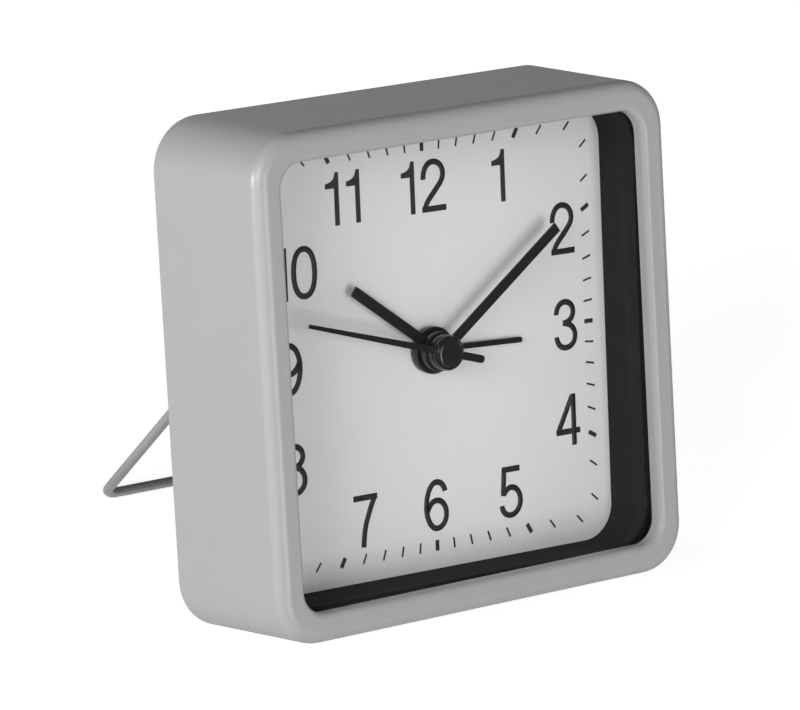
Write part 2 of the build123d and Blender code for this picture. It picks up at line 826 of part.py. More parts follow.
# Circuit board, its chip and the quartz crystal in its can
with BuildPart() as circuit_board:
    block(board_rear, middle_rear, board_width, board_height, board_at)

with BuildPart() as control_chip:
    disc(board_rear - chip_height, board_rear, chip_radius, (board_at[0], board_at[1] + chip_rise))
    fillet(control_chip.faces().sort_by(outwards)[0].edges(), chip_height / 2)

crystal_level = board_rear - crystal_radius - press_play
crystal_at = (board_at[0] + crystal_side, board_at[1] - crystal_drop, crystal_level)
with BuildPart() as quartz_crystal:
    with BuildSketch(level_plane(crystal_at)):
        Circle(crystal_radius)
    extrude(amount=crystal_length / 2, both=True)


def setting_arbor(leaves, module, phase, level, centre):
    """A setting arbor: a pinion at its level, a front pivot and a long stem out to the knob."""
    toothed(level - wheel_thick - mesh_margin, level + mesh_margin, leaves, module, phase, leaf_form, centre)
    disc(level, plate_rear + pivot_depth - end_play, pivot_radius, centre)
    disc(knob_front - knob_socket + end_play, level, set_arbor_radius, centre)


def setting_knob(knob, centre):
    """A round knob with a fluted grip, on the end of its arbor."""
    disc(knob_front - knob_height, knob_front, knob_radius, centre)
    fillet(knob.faces().sort_by(outwards)[0].edges(), knob_rounding)
    with BuildSketch(face.offset(knob_front - knob_height)) as flutes:
        with Locations(centre):
            with PolarLocations(knob_radius, knob_grips):
                Circle(grip_radius)
    extrude(flutes.sketch, amount=knob_height, mode=Mode.SUBTRACT)
    disc(knob_front - knob_socket, knob_front, set_arbor_radius + press_play, centre, mode=Mode.SUBTRACT)


with BuildPart() as time_set_arbor:
    setting_arbor(time_set_leaves, work_module, time_set_phase, work_level, time_set_at)

with BuildPart() as alarm_set_arbor:
    setting_arbor(alarm_set_leaves, work_module, alarm_set_phase, alarm_level, alarm_set_at)

with BuildPart() as time_set_knob:
    setting_knob(time_set_knob, time_set_at)

with BuildPart() as alarm_set_knob:
    setting_knob(alarm_set_knob, alarm_set_at)

# Alarm contact spring: a strip cranked up from the middle plate to the hour wheel
leaf_foot_level = middle_front + leaf_thick / 2
leaf_arm_level = hour_level - wheel_thick - leaf_thick
leaf_bend = leaf_foot - leaf_start
with BuildPart() as alarm_contact_spring:
    with BuildSketch(level_plane((0, -leaf_drop, 0))):
        with BuildLine():
            Polyline(
                (-leaf_start, leaf_foot_level),
                (leaf_bend, leaf_foot_level),
                (leaf_bend + leaf_arm_level - leaf_foot_level, leaf_arm_level),
                (-leaf_tip, leaf_arm_level),
            )
        trace(line_width=leaf_thick)
    extrude(amount=leaf_width / 2, both=True)

# Back cover: plate, skirt and clip beads
bay_front = dial_rear - cell_clear
lug_radius = wire_radius + pivot_play + lug_wall
lug_outer = stand_half_width - wire_bend - end_play
lug_inner = lug_outer - lug_width
rail_length = switch_base_width + switch_travel + 2 * rail_thick
rail_middle = (switch_base_height + rail_thick) / 2 + switch_play
slot_width = switch_stem_width + switch_travel + 2 * switch_play
slot_height = switch_stem_height + 2 * switch_play
door_width = bay_length + 2 * door_lap
door_height = bay_height + 2 * door_lap
stop_distance = wire_radius + stop_gap
stop_start = (cover_rear + hinge_back + stop_distance * cos(open_turn)) / sin(open_turn)
stop_foot = hinge_up + stop_distance * sin(open_turn) + stop_start * cos(open_turn)
stop_tip = (stop_foot - stop_reach * cos(open_turn), cover_rear - stop_reach * sin(open_turn))
with BuildPart() as back_cover:
    case_block(cover_rear, dial_rear, cover_half, inner_corner(cover_rear), taper=case_draft)
    case_block(
        cover_front,
        dial_rear,
        skirt_half,
        inner_corner(cover_front) - skirt_wall,
        taper=case_draft,
        mode=Mode.SUBTRACT,
    )
    side_blocks(clip_low, clip_high, cover_half - skirt_wall / 2, cover_half + clip_reach, clip_length)
    # battery bay with its opening, the rebate of the door and a scoop for a fingertip
    block(cover_front, bay_front, bay_length + 2 * bay_wall, bay_height + 2 * bay_wall, cell_at)
    block(cover_rear, bay_front, bay_length, bay_height, cell_at, mode=Mode.SUBTRACT)
    block(
        cover_rear,
        door_front + door_seat,
        door_width + 2 * fit,
        door_height + 2 * fit,
        cell_at,
        door_corner + fit,
        mode=Mode.SUBTRACT,
    )
    disc(
        cover_rear,
        cover_rear + finger_depth,
        finger_radius,
        (0, cell_up + door_height / 2),
        mode=Mode.SUBTRACT,
    )
    # bosses of the movement screws and holes of the setting arbors
    for place in screw_places:
        disc(cover_front, housing_rear, post_radius, place)
        disc(screw_tip - end_play, housing_rear, screw_radius + press_play, place, mode=Mode.SUBTRACT)
    for place in (time_set_at, alarm_set_at):
        disc(cover_rear, cover_front, set_arbor_radius + 2 * fit, place, mode=Mode.SUBTRACT)
    # slot and rails of the alarm switch
    block(cover_rear, cover_front, slot_width, slot_height, switch_at, mode=Mode.SUBTRACT)
    for side in (-1, 1):
        rail_at = (switch_side, switch_height + side * rail_middle)
        block(cover_front, rail_front, rail_length, rail_thick, rail_at)
    # ring of the buzzer and the sound slots behind it
    disc(cover_front, cover_front + buzzer_stand, buzzer_radius, buzzer_at, bore=buzzer_radius - buzzer_ring)
    slot_room = 2 * (buzzer_radius - buzzer_ring) * sound_slot_share
    with BuildSketch(face.offset(cover_rear)):
        with Locations(buzzer_at):
            with GridLocations(0, slot_room / (sound_slots - 1), 1, sound_slots):
                SlotOverall(slot_room, sound_slot_width)
    extrude(amount=cover_thick, mode=Mode.SUBTRACT)
    # lugs of the stand and the stops for its open legs
    for side in (-1, 1):
        lug_start = lug_inner if side > 0 else -lug_outer
        with BuildSketch(upright_plane((lug_start, hinge_up, -hinge_back))):
            Circle(lug_radius)
            Rectangle(2 * lug_radius, hinge_back + cover_rear, align=(Align.CENTER, Align.MIN))
            Circle(wire_radius + pivot_play, mode=Mode.SUBTRACT)
        extrude(amount=lug_width)
        with BuildSketch(upright_plane((side * stand_half_width, 0, 0))):
            with BuildLine():
                Polyline(
                    (stop_foot, cover_rear),
                    stop_tip,
                    (stop_tip[0] + stop_width, stop_tip[1]),
                    (stop_foot + stop_width, cover_rear),
                    close=True,
                )
            make_face()
        extrude(amount=stop_width / 2, both=True)

# Battery cell, with its button end to the right
with BuildPart() as battery_cell:
    with BuildSketch(upright_plane((-cell_length / 2, cell_up, cell_level))):
        Circle(cell_radius)
    extrude(amount=cell_length - cell_nub_length)
    fillet(battery_cell.edges().filter_by(GeomType.CIRCLE), cell_rounding)
    with BuildSketch(upright_plane((cell_length / 2 - cell_nub_length, cell_up, cell_level))):
        Circle(cell_nub_radius)
    extrude(amount=cell_nub_length)

# Battery contacts: a blade with a raised button, and a folded leaf
blade_middle = bay_end - contact_thick / 2
with BuildPart() as battery_contact_positive:
    with BuildSketch(level_plane((0, cell_up, cell_level))):
        with Locations((blade_middle, 0)):
            Rectangle(contact_thick, contact_height)
    extrude(amount=contact_width / 2, both=True)
    with BuildSketch(upright_plane((cell_length / 2, cell_up, cell_level))):
        Circle(contact_bulge)
    extrude(amount=contact_space - contact_thick)

leaf_touch = cell_length / 2 + contact_thick
with BuildPart() as battery_contact_negative:
    with BuildSketch(level_plane((0, cell_up, cell_level))):
        with BuildLine():
            Polyline(
                (-blade_middle, contact_height / 2),
                (-blade_middle, -contact_height / 2),
                (-blade_middle + 2 * contact_thick, -contact_height / 2),
                (-leaf_touch, 0),
                (-blade_middle + 2 * contact_thick, contact_height / 3),
            )
        trace(line_width=contact_thick)
    extrude(amount=contact_width / 2, both=True)

# Battery door: a plate in the rebate with tabs that slip into the bay
with BuildPart() as battery_door:
    block(door_rear, door_front, door_width, door_height, cell_at, door_corner)
    chamfer(battery_door.faces().sort_by(outwards)[0].edges(), door_edge)
    for side in (-1, 1):
        for end in (-1, 1):
            tab_up = cell_up + side * (bay_height / 2 - door_tab_play - door_tab_thick / 2)
            tab_at = (end * door_tab_side, tab_up)
            block(door_front, door_front + door_tab_length, door_tab_width, door_tab_thick, tab_at)

# Alarm switch: a slider held under the rails, with a ribbed thumb piece outside
slider_front = cover_front + switch_play + switch_base_thick
thumb_front = cover_rear - switch_play
thumb_rear = thumb_front - switch_thumb
thumb_width = switch_stem_width + 2 * rail_thick
rib_pitch = thumb_width / (switch_ribs + 1)
with BuildPart() as alarm_switch:
    block(cover_front + switch_play, slider_front, switch_base_width, switch_base_height, switch_rest)
    block(thumb_rear, cover_front + switch_play, switch_stem_width, switch_stem_height, switch_rest)
    block(thumb_rear, thumb_front, thumb_width, switch_base_height, switch_rest)
    with BuildSketch(face.offset(thumb_rear)):
        with Locations(switch_rest):
            with GridLocations(rib_pitch, 0, switch_ribs, 1):
                Rectangle(rib_pitch / 2, switch_base_height)
    extrude(amount=switch_thumb / 3, mode=Mode.SUBTRACT)

# Switch contact: a strip across the rails
with BuildPart() as switch_contact:
    block(rail_front, rail_front + strip_thick, strip_width, 2 * rail_middle + rail_thick, switch_at)

# Buzzer: a brass plate on the ring, with its ceramic disc
buzzer_rear = cover_front + buzzer_stand
buzzer_front = buzzer_rear + buzzer_thick
ceramic_front = buzzer_front + ceramic_thick
with BuildPart() as buzzer_plate:
    disc(buzzer_rear, buzzer_front, buzzer_radius, buzzer_at)

with BuildPart() as buzzer_ceramic:
    disc(buzzer_front, ceramic_front, ceramic_share * buzzer_radius, buzzer_at)

# Buzzer leads, from the circuit board through the housing to the plate and the ceramic
lead_low = ceramic_front + lead_radius + press_play
lead_high = board_rear - lead_radius - press_play
lead_slope = lead_high - lead_low
lead_turn = movement_top + lead_reach
with BuildPart() as buzzer_leads:
    for side in (-1, 1):
        lead_plane = upright_plane((buzzer_side + side * lead_gap / 2, 0, 0))
        with BuildLine(lead_plane) as lead_path:
            FilletPolyline(
                (lead_start, lead_high),
                (lead_turn, lead_high),
                (lead_turn + lead_slope, lead_low),
                (lead_turn + lead_slope + lead_bend + lead_radius, lead_low),
                radius=lead_bend,
            )
        with BuildSketch(Plane(origin=lead_path.line @ 0, z_dir=lead_path.line % 0)):
            Circle(lead_radius)
        sweep(path=lead_path.line)

# Wire stand, bent from one rod, with its ends turned in through the lugs
stand_plane = Plane(
    origin=face.from_local_coords((0, hinge_up, -hinge_back)),
    x_dir=face.x_dir,
    z_dir=face.z_dir * cos(open_turn) - face.y_dir * sin(open_turn),
)
pivot_end = stand_half_width - pivot_length
with BuildPart() as stand_wire:
    with BuildLine(stand_plane) as stand_path:
        FilletPolyline(
            (-pivot_end, 0),
            (-stand_half_width, 0),
            (-stand_half_width, -stand_leg),
            (stand_half_width, -stand_leg),
            (stand_half_width, 0),
            (pivot_end, 0),
            radius=wire_bend,
        )
    with BuildSketch(Plane(origin=stand_path.line @ 0, z_dir=stand_path.line % 0)):
        Circle(wire_radius)
    sweep(path=stand_path.line)

pieces = {
    "case_shell": case_shell,
    "lens": lens,
    "dial_surround": dial_surround,
    "dial": dial,
    "alarm_hand": alarm_hand,
    "hour_hand": hour_hand,
    "minute_hand": minute_hand,
    "second_hand": second_hand,
    "back_cover": back_cover,
    "stand_wire": stand_wire,
    "battery_door": battery_door,
    "battery_cell": battery_cell,
    "battery_contact_positive": battery_contact_positive,
    "battery_contact_negative": battery_contact_negative,
    "movement_front_plate": movement_front_plate,
    "movement_middle_plate": movement_middle_plate,
    "movement_rear_housing": movement_rear_housing,
    "movement_screws": movement_screws,
    "rotor": rotor,
    "rotor_magnet": rotor_magnet,
    "intermediate_wheel": intermediate_wheel,
    "second_wheel": second_wheel,
    "third_wheel": third_wheel,
    "centre_wheel": centre_wheel,
    "minute_work_wheel": minute_work_wheel,
    "hour_wheel": hour_wheel,
    "alarm_wheel": alarm_wheel,
    "time_set_arbor": time_set_arbor,
    "time_set_knob": time_set_knob,
    "alarm_set_arbor": alarm_set_arbor,
    "alarm_set_knob": alarm_set_knob,
    "stator": stator,
    "coil_core": coil_core,
    "coil_bobbin": coil_bobbin,
    "coil_winding": coil_winding,
    "circuit_board": circuit_board,
    "control_chip": control_chip,
    "quartz_crystal": quartz_crystal,
    "alarm_contact_spring": alarm_contact_spring,
    "alarm_switch": alarm_switch,
    "switch_contact": switch_contact,
    "buzzer_plate": buzzer_plate,
    "buzzer_ceramic": buzzer_ceramic,
    "buzzer_leads": buzzer_leads,
}
os.makedirs("parts", exist_ok=True)
for node, piece in pieces.items():
    piece.part.label = node
    export_step(piece.part, f"parts/{node}.step")
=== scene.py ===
"""Looks of a square alarm clock on a wire stand.

It draws the print on the dial, gives every piece its finish, and sets the light and the camera.
"""

import json
from math import cos, radians, sin

import bpy
from mathutils import Matrix, Vector


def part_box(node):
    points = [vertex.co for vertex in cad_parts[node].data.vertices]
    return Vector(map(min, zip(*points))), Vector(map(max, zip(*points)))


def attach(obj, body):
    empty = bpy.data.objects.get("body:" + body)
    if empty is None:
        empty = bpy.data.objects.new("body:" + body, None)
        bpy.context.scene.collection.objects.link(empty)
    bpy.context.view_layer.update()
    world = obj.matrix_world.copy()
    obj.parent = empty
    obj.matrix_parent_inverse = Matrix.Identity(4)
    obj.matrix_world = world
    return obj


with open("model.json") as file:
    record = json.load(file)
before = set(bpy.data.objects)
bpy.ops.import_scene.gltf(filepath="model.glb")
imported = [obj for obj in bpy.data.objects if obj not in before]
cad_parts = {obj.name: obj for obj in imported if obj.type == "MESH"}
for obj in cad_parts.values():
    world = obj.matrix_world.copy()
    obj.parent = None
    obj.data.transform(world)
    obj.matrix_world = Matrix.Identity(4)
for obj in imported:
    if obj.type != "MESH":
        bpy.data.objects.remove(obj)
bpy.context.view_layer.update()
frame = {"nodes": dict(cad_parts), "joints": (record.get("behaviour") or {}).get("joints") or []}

bl_info = {
    "name": "Square alarm clock",
    "version": (1, 0, 0),
    "blender": (4, 5, 0),
    "location": "3D View > Sidebar > Clock",
    "description": "Draws the dial's print, gives each piece its finish and sets the light and the camera",
    "category": "Object",
}

MM = 0.001
NODES = frame["nodes"]

# The face's own directions, right, up the dial and out of it, from the point where the hand arbor meets it
arbor_joint = next(joint for joint in frame["joints"] if joint["name"] == "second_spin")
ARBOR = Vector(arbor_joint["pos_m"])
REARWARD = Vector(arbor_joint["axis"]).normalized()
RIGHT = Vector((1, 0, 0))
UP = RIGHT.cross(REARWARD)
FACE = Matrix((RIGHT, UP, -REARWARD)).transposed().to_4x4()
FACE.translation = ARBOR

# Noise of the finishes: how fine its patches and grain go, and the span that nearly all its values lie in
PATCH_DETAIL = 3.0
PATCH_FADE = 0.55
GRAIN_DETAIL = 2.0
GRAIN_SPAN = (0.3, 0.7)


def linear(code):
    """Linear colour of an sRGB hex code."""
    parts = [int(code[start : start + 2], 16) / 255 for start in (1, 3, 5)]
    return [part / 12.92 if part <= 0.04045 else ((part + 0.055) / 1.055) ** 2.4 for part in parts]


def opaque(colour):
    """A colour with full alpha, as the shader's sockets take it."""
    return (*colour[:3], 1.0)


def per(size):
    """Pattern scale that repeats once in a size in millimetres."""
    return 1 / (size * MM)


def add(tree, kind, inputs=None, **settings):
    """Adds a node with its settings. An input is a value, or the socket that it is linked from."""
    made = tree.nodes.new(kind)
    for name, value in settings.items():
        setattr(made, name, value)
    for name, value in (inputs or {}).items():
        if isinstance(value, bpy.types.NodeSocket):
            tree.links.new(value, made.inputs[name])
        else:
            made.inputs[name].default_value = value
    return made


def new_material(name):
    """An empty node material."""
    material = bpy.data.materials.new(name)
    material.use_nodes = True
    material.node_tree.nodes.clear()
    return material


def surface(name, pale, dark, patch, rough, grain, relief, stretch=(1, 1, 1), **sockets):
    """Material that mottles between two colours and two roughnesses, with a fine relief.

    Patch, grain and relief are sizes in millimetres, and stretch scales the pattern along each axis.
    """
    material = new_material(name)
    tree = material.node_tree
    place = add(tree, "ShaderNodeTexCoord")
    drawn = add(tree, "ShaderNodeMapping", {"Vector": place.outputs["Object"], "Scale": stretch})
    patches = add(
        tree,
        "ShaderNodeTexNoise",
        {
            "Vector": drawn.outputs["Vector"],
            "Scale": per(patch),
            "Detail": PATCH_DETAIL,
            "Roughness": PATCH_FADE,
        },
    )
    fine = add(
        tree,
        "ShaderNodeTexNoise",
        {"Vector": drawn.outputs["Vector"], "Scale": per(grain), "Detail": GRAIN_DETAIL},
    )
    colour = add(
        tree,
        "ShaderNodeMix",
        {0: patches.outputs["Fac"], 6: opaque(dark), 7: opaque(pale)},
        data_type="RGBA",
    )
    gloss = rough[0]
    if rough[1] > rough[0]:
        low, high = GRAIN_SPAN
        spread = {"From Min": low, "From Max": high, "To Min": rough[0], "To Max": rough[1]}
        varied = add(tree, "ShaderNodeMapRange", {"Value": fine.outputs["Fac"], **spread})
        gloss = varied.outputs["Result"]
    bump = add(
        tree,
        "ShaderNodeBump",
        {"Height": fine.outputs["Fac"], "Strength": 1.0, "Distance": relief * MM},
    )
    shader = add(
        tree,
        "ShaderNodeBsdfPrincipled",
        {
            "Base Color": colour.outputs[2],
            "Roughness": gloss,
            "Normal": bump.outputs["Normal"],
            **sockets,
        },
    )
    add(tree, "ShaderNodeOutputMaterial", {"Surface": shader.outputs["BSDF"]})
    return material


def shader_of(material):
    """The material's main shader node."""
    return next(node for node in material.node_tree.nodes if node.type == "BSDF_PRINCIPLED")


def dress(material, *names):
    """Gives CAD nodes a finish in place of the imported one."""
    for name in names:
        NODES[name].data.materials.clear()
        NODES[name].data.materials.append(material)


def deselect():
    """Leaves nothing selected, in object mode."""
    if bpy.context.object and bpy.context.object.mode != "OBJECT":
        bpy.ops.object.mode_set(mode="OBJECT")
    bpy.ops.object.select_all(action="DESELECT")


def pick(*pieces):
    """Selects pieces and makes the first one active."""
    deselect()
    for piece in pieces:
        piece.select_set(True)
    bpy.context.view_layer.objects.active = pieces[0]


def settle(piece):
    """Puts a piece's place into its mesh, so that its object sits at the origin."""
    pick(piece)
    bpy.ops.object.transform_apply(location=True, rotation=True, scale=True)


def joined(name, pieces):
    """Joins pieces into one named piece."""
    pick(*pieces)
    if len(pieces) > 1:
        bpy.ops.object.join()
    bpy.context.object.name = name
    bpy.context.object.data.name = name
    return bpy.context.object


def copy_of(piece):
    """A copy of a piece with its own mesh."""
    twin = piece.copy()
    twin.data = piece.data.copy()
    bpy.context.scene.collection.objects.link(twin)
    return twin


def print_place(sizes, right, up, turn=0.0):
    """Place of something printed on the dial, from the middle of the print in metres, turned in radians."""
    middle = Matrix.Translation((0, sizes.print_rise, 0)) @ Matrix.Rotation(sizes.print_turn, 4, "Z")
    return FACE @ middle @ Matrix.Translation((right, up, 0)) @ Matrix.Rotation(turn, 4, "Z")


def finish_piece(piece, body, material):
    """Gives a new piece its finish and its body."""
    piece.data.materials.clear()
    piece.data.materials.append(material)
    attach(piece, body)


class ClockSizes(bpy.types.PropertyGroup):
    """Sizes of what is printed on the dial."""

    number_height: bpy.props.FloatProperty(
        name="Number height",
        description="Height of the numbers",
        default=9.3 * MM,
        unit="LENGTH",
    )
    number_stroke: bpy.props.FloatProperty(
        name="Number stroke",
        description="Width of the numbers' strokes",
        default=1.05 * MM,
        unit="LENGTH",
    )
    ink_height: bpy.props.FloatProperty(
        name="Ink height",
        description="Thickness of the print on the dial",
        default=0.04 * MM,
        unit="LENGTH",
    )
    track: bpy.props.FloatProperty(
        name="Track",
        description="Half the side of the square that the marks stand on",
        default=35.48 * MM,
        unit="LENGTH",
    )
    mark_length: bpy.props.FloatProperty(
        name="Mark length",
        description="Length of the minute marks",
        default=1.9 * MM,
        unit="LENGTH",
    )
    minute_width: bpy.props.FloatProperty(
        name="Minute mark width",
        description="Width of a minute mark",
        default=0.36 * MM,
        unit="LENGTH",
    )
    hour_width: bpy.props.FloatProperty(
        name="Hour mark width",
        description="Width of a five-minute mark",
        default=0.78 * MM,
        unit="LENGTH",
    )
    print_rise: bpy.props.FloatProperty(
        name="Print rise",
        description="Middle of the print above the hand arbor",
        default=0.5 * MM,
        unit="LENGTH",
    )
    print_turn: bpy.props.FloatProperty(
        name="Print turn",
        description="How far the print sits round on the dial",
        default=radians(-0.95),
        subtype="ANGLE",
    )


class ClockColours(bpy.types.PropertyGroup):
    """Colours of the pieces that show from outside."""

    case: bpy.props.FloatVectorProperty(
        name="Case",
        description="Satin grey of the shell",
        default=linear("#A3A3A3"),
        subtype="COLOR",
        min=0,
        max=1,
    )
    cover: bpy.props.FloatVectorProperty(
        name="Cover",
        description="Grey of the back cover and the door",
        default=linear("#A1A1A1"),
        subtype="COLOR",
        min=0,
        max=1,
    )
    dial: bpy.props.FloatVectorProperty(
        name="Dial",
        description="White of the dial",
        default=linear("#ECECEC"),
        subtype="COLOR",
        min=0,
        max=1,
    )
    surround: bpy.props.FloatVectorProperty(
        name="Surround",
        description="Black of the wall around the dial",
        default=linear("#2A2A2B"),
        subtype="COLOR",
        min=0,
        max=1,
    )
    ink: bpy.props.FloatVectorProperty(
        name="Ink",
        description="Black of the print",
        default=linear("#262627"),
        subtype="COLOR",
        min=0,
        max=1,
    )
    hands: bpy.props.FloatVectorProperty(
        name="Hands",
        description="Black of the hands",
        default=linear("#282829"),
        subtype="COLOR",
        min=0,
        max=1,
    )
    knobs: bpy.props.FloatVectorProperty(
        name="Knobs",
        description="Black of the knobs and the switch",
        default=linear("#2B2B2D"),
        subtype="COLOR",
        min=0,
        max=1,
    )


class CLOCK_OT_case(bpy.types.Operator):
    """Satin paint on the shell, clear lens and black wall around the dial"""

    bl_idname = "clock.case"
    bl_label = "Case, lens and surround"

    def execute(self, context):
        colours = context.scene.clock_colours
        # Sprayed paint on moulded ABS: even grey, a soft sheen and a faint orange peel
        grey = Vector(colours.case)
        paint = surface(
            "satin_paint_on_abs",
            pale=grey * 1.02,
            dark=grey * 0.97,
            patch=9.0,
            rough=(0.34, 0.34),
            grain=2.2,
            relief=0.0006,
            IOR=1.48,
        )
        dress(paint, "case_shell")
        # Clear moulded acrylic: mirrors a little, and lamps shine through it
        acrylic = new_material("clear_acrylic")
        tree = acrylic.node_tree
        path = add(tree, "ShaderNodeLightPath")
        mirrored = add(tree, "ShaderNodeFresnel", {"IOR": 1.2})
        mirror = add(tree, "ShaderNodeBsdfGlossy", {"Roughness": 0.0})
        open_way = add(tree, "ShaderNodeBsdfTransparent", {"Color": opaque(linear("#FBFBFB"))})
        clear = add(
            tree,
            "ShaderNodeMixShader",
            {0: mirrored.outputs["Fac"], 1: open_way.outputs["BSDF"], 2: mirror.outputs["BSDF"]},
        )
        glass = add(
            tree,
            "ShaderNodeMixShader",
            {0: path.outputs["Is Shadow Ray"], 1: clear.outputs["Shader"], 2: open_way.outputs["BSDF"]},
        )
        add(tree, "ShaderNodeOutputMaterial", {"Surface": glass.outputs["Shader"]})
        dress(acrylic, "lens")
        # Black moulded polystyrene: dull, with faint streaks along the depth
        black = Vector(colours.surround)
        styrene = surface(
            "black_polystyrene",
            pale=black * 1.15,
            dark=black * 0.85,
            patch=3.0,
            rough=(0.86, 0.96),
            grain=0.8,
            relief=0.004,
            stretch=(1.0, 0.25, 1.0),
            **{"Specular IOR Level": 0.15},
        )
        dress(styrene, "dial_surround")
        return {"FINISHED"}


class CLOCK_OT_dial(bpy.types.Operator):
    """White dial card"""

    bl_idname = "clock.dial"
    bl_label = "Dial"

    def execute(self, context):
        white = Vector(context.scene.clock_colours.dial)
        # Coated card: flat white with a barely visible fibre
        card = surface(
            "coated_card",
            pale=white,
            dark=white * 0.975,
            patch=4.0,
            rough=(0.55, 0.68),
            grain=0.35,
            relief=0.002,
        )
        dress(card, "dial")
        return {"FINISHED"}


# Pen strokes of the numbers in millimetres, at the pen's height. Each figure has its width and its strokes.
# A point is right, up, direction in degrees, and how far its curve reaches back and ahead that way.
# A stroke that closes ends with None.
PEN_HEIGHT = 9.3
STROKES = {
    "0": (
        5.5,
        [
            [
                (0.53, 4.65, 90, 2.75, 2.75), (2.75, 8.78, 0, 1.3, 1.3),
                (4.97, 4.65, 270, 2.75, 2.75), (2.75, 0.52, 180, 1.3, 1.3),
                None,
            ],
        ],
    ),
    "2": (
        5.35,
        [
            [
                (0.52, 5.8, 90, 0, 1.75), (2.66, 8.78, 0, 1.25, 1.25),
                (4.8, 6.55, 270, 1.3, 1.2), (3.15, 3.8, 229, 1.1, 1.35),
                (0.64, 0.0, 268, 1.7, 0),
            ],
            [
                (0.12, 0.52, 0, 0, 0), (5.35, 0.52, 0, 0, 0),
            ],
        ],
    ),
    "3": (
        5.2,
        [
            [
                (0.6, 6.6, 90, 0, 1.2), (2.5, 8.78, 0, 1.1, 1.1),
                (4.38, 6.95, 270, 1.05, 1.1), (2.0, 4.95, 180, 1.4, 0),
            ],
            [
                (2.0, 4.95, 0, 0, 1.6), (4.68, 2.65, 270, 1.3, 1.2),
                (2.55, 0.52, 180, 1.25, 1.15), (0.52, 2.65, 92, 1.2, 0),
            ],
        ],
    ),
    "4": (
        5.45,
        [
            [
                (4.05, 0, 90, 0, 0), (4.05, 9.3, 90, 0, 0),
            ],
            [
                (0.05, 2.6, 0, 0, 0), (5.45, 2.6, 0, 0, 0),
            ],
            [
                (0.42, 2.55, 60, 0, 0), (3.8, 8.95, 60, 0, 0),
            ],
        ],
    ),
    "5": (
        5.25,
        [
            [
                (0.8, 8.78, 0, 0, 0), (4.75, 8.78, 0, 0, 0),
            ],
            [
                (1.28, 9.1, 265, 0, 0), (0.9, 4.15, 265, 0, 0),
            ],
            [
                (0.95, 4.3, 48, 0, 0.75), (2.75, 5.5, 0, 0.85, 1.1),
                (4.7, 3.05, 270, 1.35, 1.3), (2.5, 0.52, 180, 1.2, 1.15),
                (0.53, 2.4, 96, 1.1, 0),
            ],
        ],
    ),
    "6": (
        5.4,
        [
            [
                (4.72, 6.95, 97, 0, 1.0), (2.85, 8.78, 180, 1.05, 1.35),
                (0.53, 4.3, 270, 2.3, 1.9), (2.72, 0.52, 0, 1.25, 1.25),
                (4.87, 3.0, 90, 1.35, 1.35), (2.8, 5.5, 180, 1.2, 1.05),
                (0.72, 3.7, 245, 1.0, 0),
            ],
        ],
    ),
    "7": (
        5.15,
        [
            [
                (0, 8.77, 0, 0, 0), (5.15, 8.77, 0, 0, 0),
            ],
            [
                (4.62, 8.75, 240, 0, 1.7), (2.75, 4.7, 248, 1.4, 1.5),
                (1.82, 0, 263, 1.7, 0),
            ],
        ],
    ),
    "8": (
        5.4,
        [
            [
                (0.8, 6.97, 90, 1.0, 1.0), (2.7, 8.78, 0, 1.05, 1.05),
                (4.6, 6.97, 270, 1.0, 1.0), (2.7, 5.16, 180, 1.05, 1.05),
                None,
            ],
            [
                (0.53, 2.8, 90, 1.25, 1.25), (2.7, 5.08, 0, 1.2, 1.2),
                (4.87, 2.8, 270, 1.25, 1.25), (2.7, 0.52, 180, 1.2, 1.2),
                None,
            ],
        ],
    ),
}
# Outline of the one, from its foot: it narrows at the top, where a curved flag leaves it
ONE_WIDTH = 3.0
ONE_OUTLINE = (
    (2.0, 0.0), (3.0, 0.0), (3.0, 9.3), (2.26, 9.3), (2.14, 8.75), (1.98, 8.32), (1.7, 7.98), (1.3, 7.72),
    (0.8, 7.54), (0.12, 7.4), (0.12, 6.53), (2.0, 6.53),
)
# Where each figure's middle stands on the dial, right and up from the middle of the print, in millimetres
NUMBER_PLACES = (
    ("1", -3.34, 28.3),
    ("2", 2.2, 28.3),
    ("1", 16.46, 28.27),
    ("2", 30.25, 17.33),
    ("3", 30.26, -0.05),
    ("4", 30.02, -17.26),
    ("5", 16.65, -28.36),
    ("6", 0.1, -28.31),
    ("7", -15.2, -28.78),
    ("8", -30.02, -17.7),
    ("9", -30.02, -0.1),
    ("1", -31.24, 16.4),
    ("0", -26.14, 16.35),
    ("1", -19.61, 28.28),
    ("1", -15.13, 28.28),
)


def pen_stroke(points, pen):
    """One stroke of a number, swept with the pen's outline."""
    closed = points[-1] is None
    points = [point for point in points if point]
    deselect()
    bpy.ops.curve.primitive_bezier_curve_add()
    stroke = bpy.context.object
    line = stroke.data.splines[0]
    line.bezier_points.add(len(points) - 2)
    for knot, (right, up, direction, back, ahead) in zip(line.bezier_points, points):
        middle = Vector((right, up, 0)) * MM
        way = Vector((cos(radians(direction)), sin(radians(direction)), 0)) * MM
        knot.handle_left_type = knot.handle_right_type = "FREE"
        knot.co = middle
        knot.handle_left = middle - way * back
        knot.handle_right = middle + way * ahead
    line.use_cyclic_u = closed
    stroke.data.dimensions = "3D"
    stroke.data.twist_mode = "Z_UP"
    stroke.data.resolution_u = 10
    stroke.data.bevel_mode = "OBJECT"
    stroke.data.bevel_object = pen
    stroke.data.use_fill_caps = not closed
    settle_curve(stroke)
    return stroke


def settle_curve(piece):
    """Makes a curve a mesh."""
    pick(piece)
    bpy.ops.object.convert(target="MESH")


def unite(pieces):
    """Unites overlapping solids into one."""
    first = pieces[0]
    for other in pieces[1:]:
        pick(first)
        union = first.modifiers.new("union", "BOOLEAN")
        union.operation = "UNION"
        union.solver = "EXACT"
        union.object = other
        bpy.ops.object.modifier_apply(modifier=union.name)
        bpy.data.objects.remove(other)
    return first


